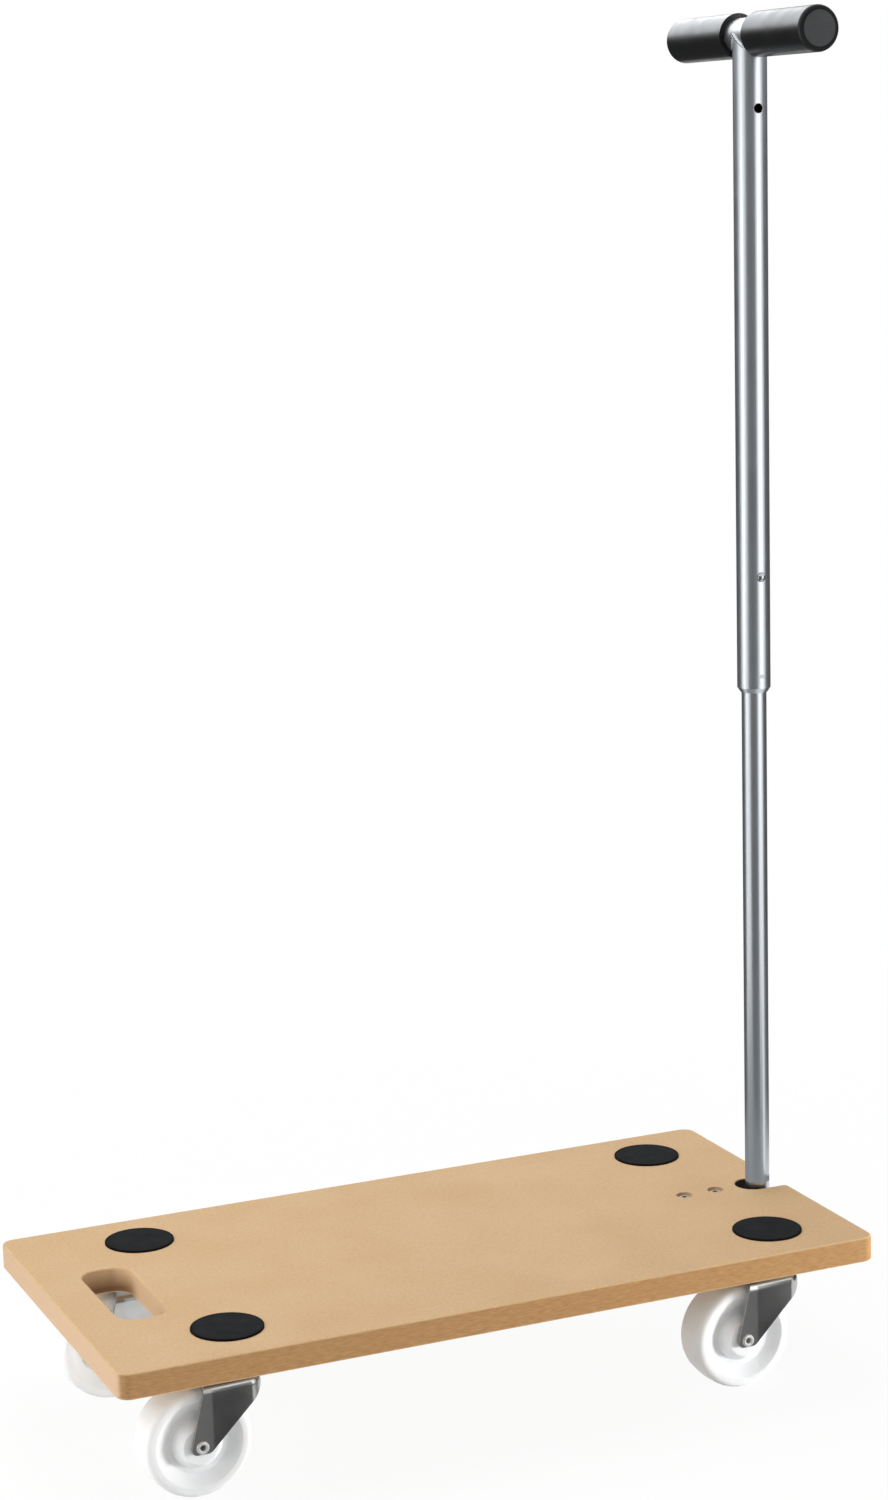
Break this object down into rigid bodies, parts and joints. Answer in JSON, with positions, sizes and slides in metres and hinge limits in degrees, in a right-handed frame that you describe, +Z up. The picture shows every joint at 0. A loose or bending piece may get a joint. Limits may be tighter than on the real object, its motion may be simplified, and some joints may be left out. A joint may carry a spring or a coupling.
{
  "type": "moving dolly",
  "caption": "Flat wooden moving dolly on swivel casters, with a hand hole, anti-slip pads and a hinged telescopic T-handle locked by a spring button.",
  "frame": {"origin": "on the floor, under the middle of the deck, where the wheels stand at height 0", "axes": "+X along the deck to the end with the handle, +Y to the dolly's left side, +Z up"},
  "size_m": [0.59, 0.296, 1.012],
  "materials": {
    "board": "plain sanded fibreboard",
    "pad_rubber": "matt",
    "grip_rubber": "satin",
    "plug_plastic": "matt",
    "chrome_tube": "bright plated",
    "zinc_steel": "bright zinc",
    "bearing_steel": "polished",
    "spring_steel": "blued",
    "button_steel": "polished",
    "guide_plastic": "matt",
    "wheel_nylon": "satin white nylon"
  },
  "bodies": {
    "deck": {"deck_board": "board", "hinge_bracket": "zinc_steel", "bracket_bolts": "zinc_steel", "bracket_nuts": "zinc_steel", "pivot_bolt": "zinc_steel", "pivot_nut": "zinc_steel", "friction_washers": "guide_plastic", "caster_screws": "zinc_steel", "pad_front_left": "pad_rubber", "mounting_plate_front_left": "zinc_steel", "kingpin_front_left": "zinc_steel", "thrust_washer_front_left": "zinc_steel", "pad_front_right": "pad_rubber", "mounting_plate_front_right": "zinc_steel", "kingpin_front_right": "zinc_steel", "thrust_washer_front_right": "zinc_steel", "pad_rear_left": "pad_rubber", "mounting_plate_rear_left": "zinc_steel", "kingpin_rear_left": "zinc_steel", "thrust_washer_rear_left": "zinc_steel", "pad_rear_right": "pad_rubber", "mounting_plate_rear_right": "zinc_steel", "kingpin_rear_right": "zinc_steel", "thrust_washer_rear_right": "zinc_steel"},
    "caster_front_left": {"fork_front_left": "zinc_steel", "race_balls_front_left": "bearing_steel", "axle_sleeve_front_left": "zinc_steel", "axle_rivet_front_left": "zinc_steel"},
    "roller_front_left": {"wheel_front_left": "wheel_nylon"},
    "caster_front_right": {"fork_front_right": "zinc_steel", "race_balls_front_right": "bearing_steel", "axle_sleeve_front_right": "zinc_steel", "axle_rivet_front_right": "zinc_steel"},
    "roller_front_right": {"wheel_front_right": "wheel_nylon"},
    "caster_rear_left": {"fork_rear_left": "zinc_steel", "race_balls_rear_left": "bearing_steel", "axle_sleeve_rear_left": "zinc_steel", "axle_rivet_rear_left": "zinc_steel"},
    "roller_rear_left": {"wheel_rear_left": "wheel_nylon"},
    "caster_rear_right": {"fork_rear_right": "zinc_steel", "race_balls_rear_right": "bearing_steel", "axle_sleeve_rear_right": "zinc_steel", "axle_rivet_rear_right": "zinc_steel"},
    "roller_rear_right": {"wheel_rear_right": "wheel_nylon"},
    "lower_handle": {"hinge_knuckle": "zinc_steel", "knuckle_pin": "zinc_steel", "lower_tube": "chrome_tube", "glide_sleeve": "guide_plastic", "button_spring": "spring_steel"},
    "button": {"snap_button": "button_steel"},
    "upper_handle": {"upper_tube": "chrome_tube", "guide_bush": "guide_plastic", "crossbar": "chrome_tube", "grip_left": "grip_rubber", "grip_right": "grip_rubber", "end_plug_left": "plug_plastic", "end_plug_right": "plug_plastic"}
  },
  "joints": [
    {"name": "front_left_swivel", "type": "hinge", "parent": "deck", "child": "caster_front_left", "pos_m": [0.23, 0.0985, 0.0872], "axis": [0, 0, 1], "continuous": true},
    {"name": "front_left_roll", "type": "hinge", "parent": "caster_front_left", "child": "roller_front_left", "pos_m": [0.2016, 0.0985, 0.04], "axis": [0, 1, 0], "continuous": true},
    {"name": "front_right_swivel", "type": "hinge", "parent": "deck", "child": "caster_front_right", "pos_m": [0.23, -0.0985, 0.0872], "axis": [0, 0, 1], "continuous": true},
    {"name": "front_right_roll", "type": "hinge", "parent": "caster_front_right", "child": "roller_front_right", "pos_m": [0.2016, -0.0985, 0.04], "axis": [0, 1, 0], "continuous": true},
    {"name": "rear_left_swivel", "type": "hinge", "parent": "deck", "child": "caster_rear_left", "pos_m": [-0.2, 0.0985, 0.0872], "axis": [0, 0, 1], "continuous": true},
    {"name": "rear_left_roll", "type": "hinge", "parent": "caster_rear_left", "child": "roller_rear_left", "pos_m": [-0.2284, 0.0985, 0.04], "axis": [0, 1, 0], "continuous": true},
    {"name": "rear_right_swivel", "type": "hinge", "parent": "deck", "child": "caster_rear_right", "pos_m": [-0.2, -0.0985, 0.0872], "axis": [0, 0, 1], "continuous": true},
    {"name": "rear_right_roll", "type": "hinge", "parent": "caster_rear_right", "child": "roller_rear_right", "pos_m": [-0.2284, -0.0985, 0.04], "axis": [0, 1, 0], "continuous": true},
    {"name": "handle_tilt", "type": "hinge", "parent": "deck", "child": "lower_handle", "pos_m": [0.277, 0, 0.077], "axis": [0, 1, 0], "range_deg": [0, 270]},
    {"name": "handle_extend", "type": "slide", "parent": "lower_handle", "child": "upper_handle", "axis": [0, 0, 1], "range_m": [-0.346, 0], "deforming": ["snap_button"]},
    {"name": "button_press", "type": "slide", "parent": "lower_handle", "child": "button", "axis": [0, 1, 0], "range_m": [0, 0.0038], "stiffness_N_per_m": 800, "springref_m": -0.002, "deforming": ["button_spring"]}
  ]
}
